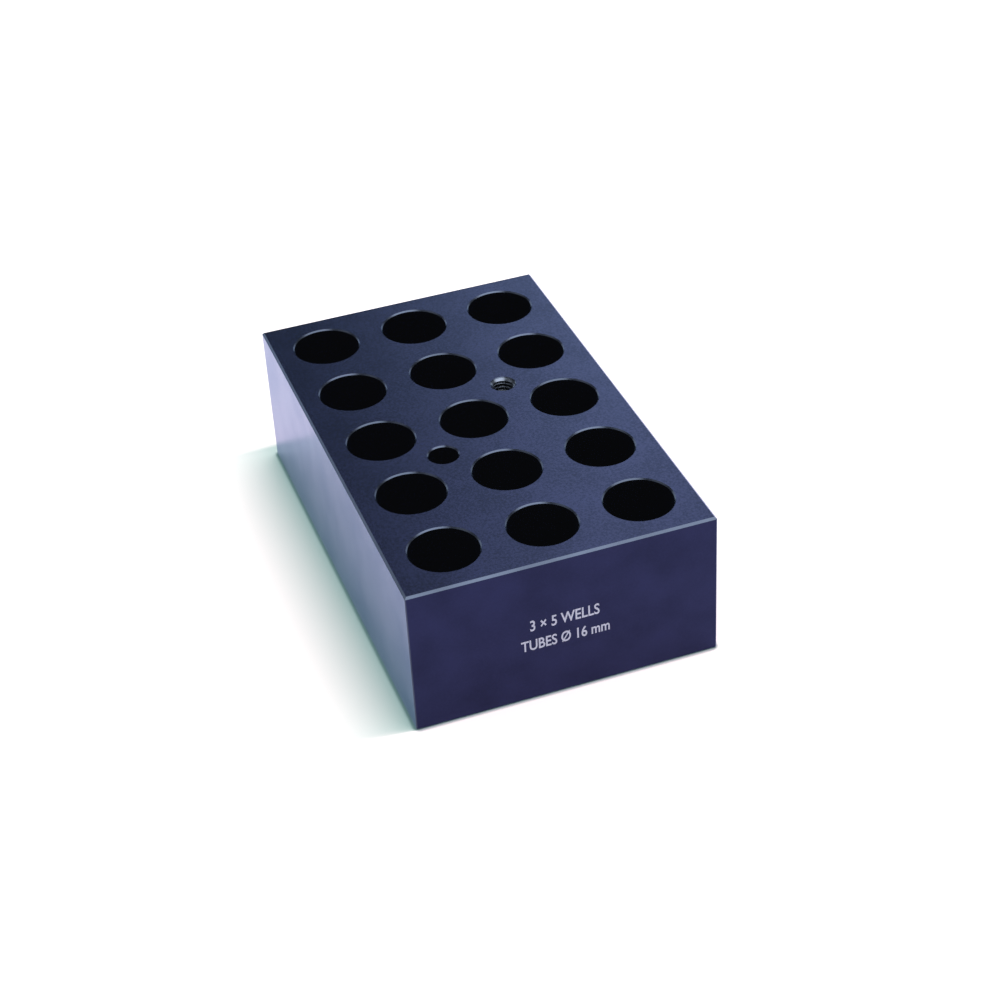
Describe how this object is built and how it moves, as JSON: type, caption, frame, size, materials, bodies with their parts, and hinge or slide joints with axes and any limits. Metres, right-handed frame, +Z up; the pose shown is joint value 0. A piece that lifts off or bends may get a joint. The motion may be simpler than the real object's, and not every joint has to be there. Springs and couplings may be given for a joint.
{
  "type": "heat block insert",
  "caption": "Rectangular anodised aluminium heating block with a grid of round blind wells for tubes, a thermometer well and a tapped lifting hole between them.",
  "frame": {"origin": "centre of the underside", "axes": "+Z up, out of the wells' mouths; Y along the block's length, with the marked end face at -Y; X across its width"},
  "size_m": [0.0724, 0.1186, 0.037],
  "materials": {
    "anodised": "satin"
  },
  "bodies": {
    "root": {"heat_block": "anodised"}
  },
  "joints": []
}
